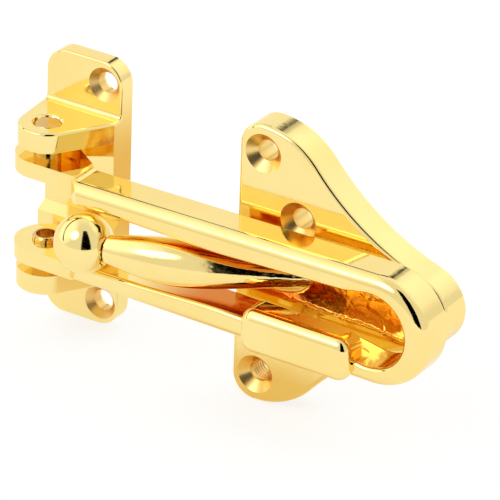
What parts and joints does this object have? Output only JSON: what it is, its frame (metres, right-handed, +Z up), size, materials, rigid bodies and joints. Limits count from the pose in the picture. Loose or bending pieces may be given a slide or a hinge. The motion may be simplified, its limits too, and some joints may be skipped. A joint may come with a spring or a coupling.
{
  "type": "swing bar door guard",
  "caption": "Door guard with a long slotted bar that swings from a jamb bracket over a ball on a curved arm, so the door opens only a little.",
  "frame": {"origin": "midway between the two jamb screws, on the back face of the jamb bracket", "axes": "+X along the closed bar from the jamb to the door, +Y into the jamb, +Z up along the pivot"},
  "size_m": [0.1073, 0.0314, 0.0648],
  "materials": {
    "polished_brass": "mirror polished, bright gold tone",
    "pin_brass": "polished, a little darker than the castings"
  },
  "bodies": {
    "fixed": {"jamb_bracket": "polished_brass", "upper_pin": "pin_brass", "lower_pin": "pin_brass", "door_plate": "polished_brass"},
    "bar": {"swing_bar": "polished_brass"}
  },
  "joints": [
    {"name": "bar_swing", "type": "hinge", "parent": "fixed", "child": "bar", "pos_m": [-0.0076, -0.014, 0], "axis": [0, 0, -1], "range_deg": [0, 180]}
  ]
}
